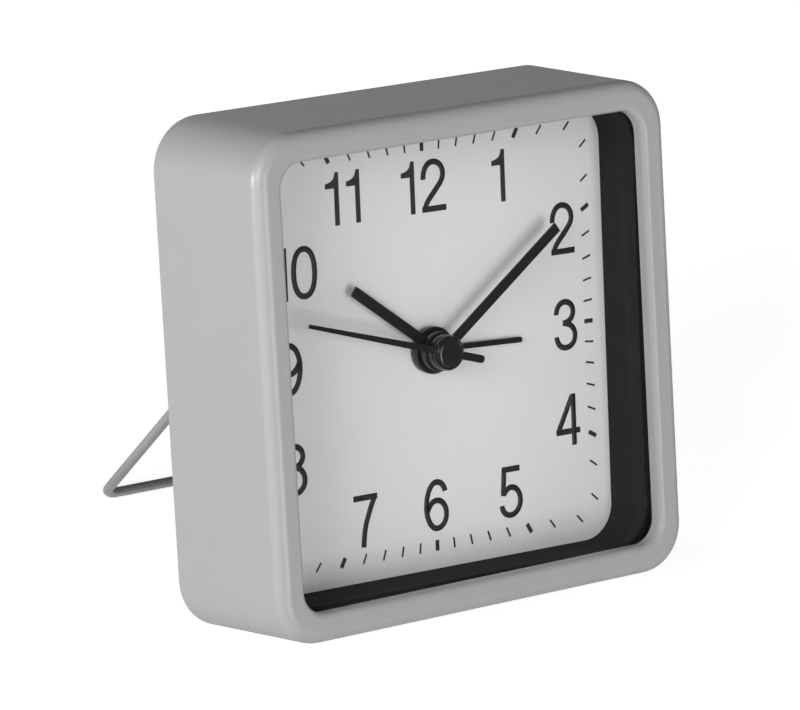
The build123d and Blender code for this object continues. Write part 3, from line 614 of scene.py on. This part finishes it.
class CLOCK_OT_numbers(bpy.types.Operator):
    """Numbers one to twelve, printed on the dial"""

    bl_idname = "clock.numbers"
    bl_label = "Dial numbers"

    def execute(self, context):
        sizes = context.scene.clock_sizes
        ink_height = sizes.ink_height
        half_stroke = sizes.number_stroke / 2
        deselect()
        bpy.ops.curve.primitive_bezier_circle_add()
        pen = bpy.context.object
        corners = ((-1, -1), (-1, 1), (1, 1), (1, -1))
        for knot, (right, up) in zip(pen.data.splines[0].bezier_points, corners):
            knot.handle_left_type = knot.handle_right_type = "VECTOR"
            knot.co = (right * half_stroke, up * ink_height, 0)
        pen.data.resolution_u = 1
        figures = {}
        for figure, (width, strokes) in STROKES.items():
            figures[figure] = (width, unite([pen_stroke(points, pen) for points in strokes]))
        # The nine is the six turned half round
        width, six = figures["6"]
        nine = copy_of(six)
        half_turn = Matrix.Rotation(radians(180), 4, "Z")
        nine.matrix_world = Matrix.Translation((width * MM, PEN_HEIGHT * MM, 0)) @ half_turn
        settle(nine)
        figures["9"] = (width, nine)
        deselect()
        bpy.ops.mesh.primitive_circle_add(vertices=len(ONE_OUTLINE), fill_type="NGON")
        one = bpy.context.object
        for point, (right, up) in zip(one.data.vertices, ONE_OUTLINE):
            point.co = (right * MM, up * MM, -ink_height)
        bpy.ops.object.mode_set(mode="EDIT")
        bpy.ops.mesh.select_all(action="SELECT")
        bpy.ops.mesh.extrude_region_move(TRANSFORM_OT_translate={"value": (0, 0, 2 * ink_height)})
        bpy.ops.mesh.select_all(action="SELECT")
        bpy.ops.mesh.normals_make_consistent(inside=False)
        bpy.ops.object.mode_set(mode="OBJECT")
        figures["1"] = (ONE_WIDTH, one)
        scale = sizes.number_height / (PEN_HEIGHT * MM)
        sized = Matrix.Diagonal((scale, scale, 1, 1))
        printed = []
        for figure, right, up in NUMBER_PLACES:
            width, shape = figures[figure]
            twin = copy_of(shape)
            centre = Matrix.Translation((-width * MM / 2, -PEN_HEIGHT * MM / 2, 0))
            twin.matrix_world = print_place(sizes, right * MM, up * MM) @ sized @ centre
            settle(twin)
            printed.append(twin)
        for width, shape in figures.values():
            bpy.data.objects.remove(shape)
        bpy.data.objects.remove(pen)
        numbers = joined("dial_numbers", printed)
        finish_piece(numbers, "case", ink_of(context))
        return {"FINISHED"}


def ink_of(context):
    """Screen-printed ink: dull black, with a little unevenness of the mesh it was pressed through."""
    known = bpy.data.materials.get("screen_printed_ink")
    if known:
        return known
    black = Vector(context.scene.clock_colours.ink)
    return surface(
        "screen_printed_ink",
        pale=black * 1.1,
        dark=black * 0.9,
        patch=0.8,
        rough=(0.5, 0.62),
        grain=0.3,
        relief=0.002,
    )


MINUTES = 60
MINUTES_TO_HOUR_MARK = 5


class CLOCK_OT_marks(bpy.types.Operator):
    """Sixty marks on a square track around the dial"""

    bl_idname = "clock.marks"
    bl_label = "Dial marks"

    def execute(self, context):
        sizes = context.scene.clock_sizes
        for name, width, hours in (
            ("minute_marks", sizes.minute_width, False),
            ("hour_marks", sizes.hour_width, True),
        ):
            deselect()
            bpy.ops.mesh.primitive_plane_add(size=1)
            mark = bpy.context.object
            bpy.ops.object.mode_set(mode="EDIT")
            bpy.ops.mesh.select_all(action="SELECT")
            bpy.ops.transform.resize(value=(width, sizes.mark_length, 1))
            bpy.ops.transform.translate(value=(0, 0, -sizes.ink_height))
            thick = (0, 0, 2 * sizes.ink_height)
            bpy.ops.mesh.extrude_region_move(TRANSFORM_OT_translate={"value": thick})
            bpy.ops.mesh.select_all(action="SELECT")
            bpy.ops.mesh.normals_make_consistent(inside=False)
            bpy.ops.object.mode_set(mode="OBJECT")
            printed = []
            for minute in range(MINUTES):
                if (minute % MINUTES_TO_HOUR_MARK == 0) != hours:
                    continue
                turn = radians(360 * minute / MINUTES)
                reach = sizes.track / max(abs(sin(turn)), abs(cos(turn)))
                twin = copy_of(mark)
                twin.matrix_world = print_place(sizes, reach * sin(turn), reach * cos(turn), -turn)
                settle(twin)
                printed.append(twin)
            bpy.data.objects.remove(mark)
            finish_piece(joined(name, printed), "case", ink_of(context))
        return {"FINISHED"}


class CLOCK_OT_hands(bpy.types.Operator):
    """Black lacquer on the four hands"""

    bl_idname = "clock.hands"
    bl_label = "Hands"

    def execute(self, context):
        black = Vector(context.scene.clock_colours.hands)
        # Lacquered aluminium: black with a soft shine along its edges
        lacquer = surface(
            "black_lacquered_aluminium",
            pale=black * 1.1,
            dark=black * 0.9,
            patch=2.0,
            rough=(0.16, 0.16),
            grain=0.5,
            relief=0.0008,
        )
        dress(lacquer, "alarm_hand", "hour_hand", "minute_hand", "second_hand")
        return {"FINISHED"}


class CLOCK_OT_back(bpy.types.Operator):
    """Grained back cover and door, black knobs and switch, and the plated wire stand"""

    bl_idname = "clock.back"
    bl_label = "Back, knobs and stand"

    def execute(self, context):
        colours = context.scene.clock_colours
        grey = Vector(colours.cover)
        # Spark-eroded mould texture on ABS: a fine matt grain
        grained = surface(
            "grained_abs",
            pale=grey * 1.04,
            dark=grey * 0.95,
            patch=6.0,
            rough=(0.52, 0.68),
            grain=0.55,
            relief=0.02,
        )
        dress(grained, "back_cover", "battery_door")
        black = Vector(colours.knobs)
        # Moulded ABS left smooth: black with a satin shine
        smooth = surface(
            "smooth_black_abs",
            pale=black * 1.1,
            dark=black * 0.9,
            patch=2.5,
            rough=(0.32, 0.42),
            grain=0.6,
            relief=0.003,
        )
        dress(smooth, "time_set_knob", "alarm_set_knob", "alarm_switch")
        # Nickel on drawn steel wire: bright, with faint lines along it
        nickel = surface(
            "nickel_plated_wire",
            pale=linear("#DADADB"),
            dark=linear("#C4C4C6"),
            patch=2.0,
            rough=(0.36, 0.36),
            grain=0.35,
            relief=0.001,
            stretch=(1.0, 0.3, 0.3),
            Metallic=1.0,
        )
        dress(nickel, "stand_wire")
        return {"FINISHED"}


class CLOCK_OT_battery(bpy.types.Operator):
    """Battery cell in its printed sleeve, and its contacts"""

    bl_idname = "clock.battery"
    bl_label = "Battery"

    def execute(self, context):
        # Shrunk plastic sleeve: dark body and a copper-coloured band at the positive end
        low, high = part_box("battery_cell")
        sleeve = surface(
            "shrunk_sleeve",
            pale=linear("#3A3B3E"),
            dark=linear("#323336"),
            patch=5.0,
            rough=(0.29, 0.36),
            grain=1.2,
            relief=0.002,
        )
        tree = sleeve.node_tree
        place = add(tree, "ShaderNodeTexCoord")
        ends = add(tree, "ShaderNodeSeparateXYZ", {"Vector": place.outputs["Object"]})
        plain_share = 0.7
        band_start = low.x + plain_share * (high.x - low.x)
        sides = {0: ends.outputs["X"], 1: band_start}
        band = add(tree, "ShaderNodeMath", sides, operation="GREATER_THAN")
        shader = shader_of(sleeve)
        body = shader.inputs["Base Color"].links[0].from_socket
        copper = opaque(linear("#B87A4B"))
        bands = add(tree, "ShaderNodeMix", {0: band.outputs[0], 6: body, 7: copper}, data_type="RGBA")
        tree.links.new(bands.outputs[2], shader.inputs["Base Color"])
        dress(sleeve, "battery_cell")
        # Nickel-plated strip: bright with rolling lines
        strip = surface(
            "nickel_plated_strip",
            pale=linear("#D2D2CF"),
            dark=linear("#BDBDBA"),
            patch=3.0,
            rough=(0.29, 0.38),
            grain=0.4,
            relief=0.002,
            stretch=(1.0, 0.2, 1.0),
            Metallic=1.0,
        )
        dress(strip, "battery_contact_positive", "battery_contact_negative")
        return {"FINISHED"}


class CLOCK_OT_movement(bpy.types.Operator):
    """Plates, wheels, motor and circuit of the movement"""

    bl_idname = "clock.movement"
    bl_label = "Movement"

    def execute(self, context):
        # Glass-filled nylon plates: dark grey with short pale fibres
        plates = surface(
            "glass_filled_nylon",
            pale=linear("#5C5C5E"),
            dark=linear("#4A4A4C"),
            patch=1.2,
            rough=(0.5, 0.64),
            grain=0.4,
            relief=0.006,
        )
        dress(plates, "movement_front_plate", "movement_middle_plate", "movement_rear_housing")
        # Acetal wheels: milky white with a waxy sheen
        acetal = surface(
            "white_acetal",
            pale=linear("#E9E7DF"),
            dark=linear("#DCD9CF"),
            patch=3.0,
            rough=(0.34, 0.44),
            grain=0.8,
            relief=0.002,
            **{"Subsurface Weight": 0.1, "Subsurface Scale": 0.6 * MM},
        )
        dress(
            acetal, "rotor", "intermediate_wheel", "second_wheel", "third_wheel", "centre_wheel",
            "minute_work_wheel", "hour_wheel", "alarm_wheel", "time_set_arbor", "alarm_set_arbor",
        )
        # Pressed ferrite: dull and nearly black, with a gritty face
        ferrite = surface(
            "pressed_ferrite",
            pale=linear("#4A4A4C"),
            dark=linear("#38383A"),
            patch=0.6,
            rough=(0.6, 0.75),
            grain=0.25,
            relief=0.01,
        )
        dress(ferrite, "rotor_magnet")
        # Zinc-plated screws: pale metal with turning marks
        zinc = surface(
            "zinc_plated_steel",
            pale=linear("#C9CBCE"),
            dark=linear("#B2B4B8"),
            patch=1.5,
            rough=(0.29, 0.4),
            grain=0.3,
            relief=0.003,
            Metallic=1.0,
        )
        dress(zinc, "movement_screws")
        # Rolled silicon steel: grey metal with rolling lines
        iron = surface(
            "rolled_silicon_steel",
            pale=linear("#A3A4A6"),
            dark=linear("#8C8D90"),
            patch=2.0,
            rough=(0.32, 0.46),
            grain=0.4,
            relief=0.003,
            stretch=(0.2, 1.0, 1.0),
            Metallic=1.0,
        )
        dress(iron, "stator", "coil_core")
        # Moulded nylon in slate blue: even, with a soft sheen
        bobbin = surface(
            "blue_nylon",
            pale=linear("#5B6378"),
            dark=linear("#4C546A"),
            patch=2.0,
            rough=(0.4, 0.52),
            grain=0.6,
            relief=0.003,
        )
        dress(bobbin, "coil_bobbin")
        # Enamelled copper wire wound side by side: warm metal ribbed across the coil
        copper = surface(
            "enamelled_copper_wire",
            pale=linear("#C06A35"),
            dark=linear("#9A4E22"),
            patch=1.0,
            rough=(0.29, 0.38),
            grain=0.5,
            relief=0.004,
            Metallic=0.8,
        )
        wound(copper)
        dress(copper, "coil_winding")
        # Glass-epoxy board under a green mask, with its copper tracks showing through
        board = surface(
            "solder_masked_laminate",
            pale=linear("#2F5A3A"),
            dark=linear("#274E31"),
            patch=2.0,
            rough=(0.3, 0.42),
            grain=0.4,
            relief=0.004,
        )
        tracks(board)
        dress(board, "circuit_board")
        # Epoxy cast over the chip: black and glossy, slightly lumpy
        resin = surface(
            "black_epoxy",
            pale=linear("#1D1D1F"),
            dark=linear("#161618"),
            patch=1.0,
            rough=(0.14, 0.24),
            grain=0.8,
            relief=0.01,
        )
        dress(resin, "control_chip")
        # Drawn nickel silver: pale bright metal with lines along the can
        can = surface(
            "drawn_nickel_silver",
            pale=linear("#D8D6CE"),
            dark=linear("#C3C1B8"),
            patch=1.5,
            rough=(0.18, 0.26),
            grain=0.3,
            relief=0.002,
            stretch=(1.0, 0.3, 0.3),
            Metallic=1.0,
        )
        dress(can, "quartz_crystal")
        # Phosphor bronze strip: warm golden metal with rolling lines
        bronze = surface(
            "phosphor_bronze",
            pale=linear("#C99B5B"),
            dark=linear("#B5884B"),
            patch=1.5,
            rough=(0.29, 0.38),
            grain=0.3,
            relief=0.002,
            stretch=(0.3, 1.0, 1.0),
            Metallic=1.0,
        )
        dress(bronze, "alarm_contact_spring", "switch_contact")
        # Rolled brass: yellow metal with fine rolling lines
        brass = surface(
            "rolled_brass",
            pale=linear("#D2AF64"),
            dark=linear("#BF9B52"),
            patch=2.5,
            rough=(0.29, 0.38),
            grain=0.4,
            relief=0.002,
            stretch=(0.3, 1.0, 1.0),
            Metallic=1.0,
        )
        dress(brass, "buzzer_plate")
        # Fired-on silver over ceramic: pale, dull and slightly grainy
        ceramic = surface(
            "silvered_ceramic",
            pale=linear("#E4E1D8"),
            dark=linear("#D3D0C6"),
            patch=1.2,
            rough=(0.45, 0.6),
            grain=0.3,
            relief=0.004,
        )
        dress(ceramic, "buzzer_ceramic")
        # Extruded vinyl: even red with a waxy sheen
        vinyl = surface(
            "red_vinyl_sleeving",
            pale=linear("#A83232"),
            dark=linear("#962929"),
            patch=1.5,
            rough=(0.38, 0.5),
            grain=0.5,
            relief=0.003,
        )
        dress(vinyl, "buzzer_leads")
        return {"FINISHED"}


def wound(material):
    """Ribs of wire wound round the coil.

    The real wire is too fine to show, so the ribs are drawn four to the millimetre.
    """
    tree = material.node_tree
    shader = shader_of(material)
    place = add(tree, "ShaderNodeTexCoord")
    rib_pitch = 0.25
    rib_height = 0.08
    along = {0: place.outputs["Object"], 1: UP}
    turned = add(tree, "ShaderNodeVectorMath", along, operation="DOT_PRODUCT")
    pitches = {0: turned.outputs["Value"], 1: per(rib_pitch)}
    wave = add(tree, "ShaderNodeMath", pitches, operation="MULTIPLY")
    ribs = add(tree, "ShaderNodeMath", {0: wave.outputs[0], 1: 0.5}, operation="PINGPONG")
    raised = {"Height": ribs.outputs[0], "Strength": 1.0, "Distance": rib_height * MM}
    bump = add(tree, "ShaderNodeBump", raised)
    tree.links.new(bump.outputs["Normal"], shader.inputs["Normal"])


def tracks(material):
    """Copper tracks under the board's mask, in straight runs about a millimetre apart."""
    tree = material.node_tree
    shader = shader_of(material)
    place = add(tree, "ShaderNodeTexCoord")
    field_size = 3.0
    runs = add(
        tree,
        "ShaderNodeTexBrick",
        {
            "Vector": place.outputs["Object"],
            "Scale": per(field_size),
            "Mortar Size": 0.09,
            "Mortar Smooth": 0.1,
            "Brick Width": 1.3,
            "Row Height": 0.4,
        },
    )
    mask = shader.inputs["Base Color"].links[0].from_socket
    pale_green = opaque(linear("#5E7A45"))
    lines = add(tree, "ShaderNodeMix", {0: runs.outputs["Fac"], 6: mask, 7: pale_green}, data_type="RGBA")
    tree.links.new(lines.outputs[2], shader.inputs["Base Color"])


# Camera of the photograph in the face's frame, as right, back and up. Its place is in metres from the
# middle of the print, and its lens and sensor are in millimetres.
CAMERA_PLACE = (-0.59773, -0.81245, 0.1786)
CAMERA_AHEAD = (0.5793, 0.7960, -0.1755)
CAMERA_RIGHT = (0.8017, -0.5953, -0.0538)
CAMERA_LENS = 263.5
CAMERA_SENSOR = 36.0
CAMERA_NEAREST = 0.01

# Floor: its side in metres, how white it shows, and the share of that white which shiny pieces mirror
FLOOR_SIDE = 12
FLOOR_GLOW = 0.7
FLOOR_MIRRORED = 0.08

# Light of the room from its front to its back, and what shiny pieces mirror of it
ROOM_LIGHT = {"From Min": -0.6, "From Max": 0.6, "To Min": 0.2, "To Max": 0.08}
ROOM_MIRRORED = {"From Min": -0.3, "From Max": 0.5, "To Min": 0.05, "To Max": 0.12}

# Lamps, all aimed at the middle of the clock: name, place, width and height in metres, power in watts, and
# whether shiny pieces mirror the lamp
LAMP_AIM = Vector((0, 0, 0.045))
LAMPS = (
    ("left_strip", (-1.0, 0.26, 0.08), 0.16, 0.14, 5.7, True),
    ("upper_softbox", (-1.08, -0.42, 0.58), 0.6, 0.6, 8.4, True),
    ("front_softbox", (-0.02, -1.1, 0.31), 0.4, 0.9, 7.25, True),
    ("right_strip", (0.9, -0.6, 0.2), 0.15, 0.4, 0.8, True),
    ("top_panel", (0.58, -0.25, 0.8), 0.4, 0.3, 0.25, True),
    ("rear_softbox", (0.4, 1.1, 0.08), 0.7, 0.14, 2.8, False),
)


def from_face(right, back, up):
    """Direction in the world of a direction in the face's frame."""
    return RIGHT * right + REARWARD * back + UP * up


def background_rays(tree):
    """The light path, and its rays that see the background as white."""
    path = add(tree, "ShaderNodeLightPath")
    direct = {0: path.outputs["Is Camera Ray"], 1: path.outputs["Is Transmission Ray"]}
    return path, add(tree, "ShaderNodeMath", direct, operation="MAXIMUM")


def lay_floor():
    """Pale paper floor that keeps the clock's shadow."""
    deselect()
    bpy.ops.mesh.primitive_plane_add(size=FLOOR_SIDE)
    floor = bpy.context.object
    floor.name = "floor"
    # Matt seamless paper: near white, without a pattern, and lifted to white where the camera sees it
    paper = new_material("pale_paper_floor")
    tree = paper.node_tree
    path, seen = background_rays(tree)
    mirrored = {0: path.outputs["Is Glossy Ray"], 1: FLOOR_MIRRORED}
    dimmed = add(tree, "ShaderNodeMath", mirrored, operation="MULTIPLY")
    either = {0: seen.outputs[0], 1: dimmed.outputs[0]}
    shown = add(tree, "ShaderNodeMath", either, operation="MAXIMUM")
    lift = add(tree, "ShaderNodeMath", {0: shown.outputs[0], 1: FLOOR_GLOW}, operation="MULTIPLY")
    matt = add(tree, "ShaderNodeBsdfDiffuse", {"Color": opaque(linear("#EDEDED"))})
    glow = add(tree, "ShaderNodeEmission", {"Strength": lift.outputs[0]})
    both = add(tree, "ShaderNodeAddShader", {0: matt.outputs["BSDF"], 1: glow.outputs["Emission"]})
    add(tree, "ShaderNodeOutputMaterial", {"Surface": both.outputs["Shader"]})
    floor.data.materials.append(paper)


def light_room(scene):
    """White world that the camera sees, with a dimmer room that lights the clock."""
    world = bpy.data.worlds.new("white_studio")
    scene.world = world
    world.use_nodes = True
    tree = world.node_tree
    tree.nodes.clear()
    path, seen = background_rays(tree)
    way = add(tree, "ShaderNodeTexCoord")
    along = add(tree, "ShaderNodeSeparateXYZ", {"Vector": way.outputs["Generated"]})
    room = add(tree, "ShaderNodeMapRange", {"Value": along.outputs["Y"], **ROOM_LIGHT})
    mirrored = add(tree, "ShaderNodeMapRange", {"Value": along.outputs["Y"], **ROOM_MIRRORED})
    light = add(
        tree,
        "ShaderNodeMix",
        {0: path.outputs["Is Glossy Ray"], 2: room.outputs["Result"], 3: mirrored.outputs["Result"]},
    )
    brighter = {0: seen.outputs[0], 1: light.outputs[0]}
    strength = add(tree, "ShaderNodeMath", brighter, operation="MAXIMUM")
    sky = add(tree, "ShaderNodeBackground", {"Strength": strength.outputs[0]})
    add(tree, "ShaderNodeOutputWorld", {"Surface": sky.outputs["Background"]})


def hang_lamps(scene):
    """Soft lamps around the clock."""
    for name, place, width, height, power, mirrored in LAMPS:
        light = bpy.data.lights.new(name, "AREA")
        light.shape = "RECTANGLE"
        light.size = width
        light.size_y = height
        light.energy = power
        lamp = bpy.data.objects.new(name, light)
        scene.collection.objects.link(lamp)
        lamp.location = place
        lamp.visible_glossy = mirrored
        lamp.rotation_euler = (LAMP_AIM - Vector(place)).to_track_quat("-Z", "Y").to_euler()


def set_camera(scene):
    """Camera at the photograph's viewing angle."""
    ahead = from_face(*CAMERA_AHEAD).normalized()
    right = from_face(*CAMERA_RIGHT)
    right = (right - ahead * right.dot(ahead)).normalized()
    over = right.cross(ahead)
    view = bpy.data.cameras.new("photograph_view")
    view.sensor_fit = "HORIZONTAL"
    view.sensor_width = CAMERA_SENSOR
    view.lens = CAMERA_LENS
    view.clip_start = CAMERA_NEAREST
    camera = bpy.data.objects.new("photograph_view", view)
    scene.collection.objects.link(camera)
    place = Matrix((right, over, -ahead)).transposed().to_4x4()
    place.translation = ARBOR + UP * scene.clock_sizes.print_rise + from_face(*CAMERA_PLACE)
    camera.matrix_world = place
    scene.camera = camera


class CLOCK_OT_stage(bpy.types.Operator):
    """Pale floor, soft lamps, white world and the camera"""

    bl_idname = "clock.stage"
    bl_label = "Stage"

    def execute(self, context):
        scene = context.scene
        scene.view_settings.view_transform = "Standard"
        lay_floor()
        light_room(scene)
        hang_lamps(scene)
        set_camera(scene)
        return {"FINISHED"}


STEPS = (
    CLOCK_OT_case, CLOCK_OT_dial, CLOCK_OT_numbers, CLOCK_OT_marks, CLOCK_OT_hands, CLOCK_OT_back,
    CLOCK_OT_battery, CLOCK_OT_movement, CLOCK_OT_stage,
)


class CLOCK_PT_panel(bpy.types.Panel):
    """Steps that dress the clock"""

    bl_idname = "CLOCK_PT_panel"
    bl_label = "Square alarm clock"
    bl_space_type = "VIEW_3D"
    bl_region_type = "UI"
    bl_category = "Clock"

    def draw(self, context):
        layout = self.layout
        for group in (context.scene.clock_sizes, context.scene.clock_colours):
            column = layout.column()
            for name in group.__annotations__:
                column.prop(group, name)
        for step in STEPS:
            layout.operator(step.bl_idname)


CLASSES = (ClockSizes, ClockColours, *STEPS, CLOCK_PT_panel)


def register():
    """Registers the clock's classes and settings."""
    for each in CLASSES:
        bpy.utils.register_class(each)
    bpy.types.Scene.clock_sizes = bpy.props.PointerProperty(type=ClockSizes)
    bpy.types.Scene.clock_colours = bpy.props.PointerProperty(type=ClockColours)


def unregister():
    """Removes the clock's classes and settings."""
    del bpy.types.Scene.clock_sizes
    del bpy.types.Scene.clock_colours
    for each in reversed(CLASSES):
        bpy.utils.unregister_class(each)


def main():
    """Dresses the clock step by step."""
    register()
    for step in STEPS:
        group, name = step.bl_idname.split(".")
        getattr(getattr(bpy.ops, group), name)()


if __name__ == "__main__":
    main()
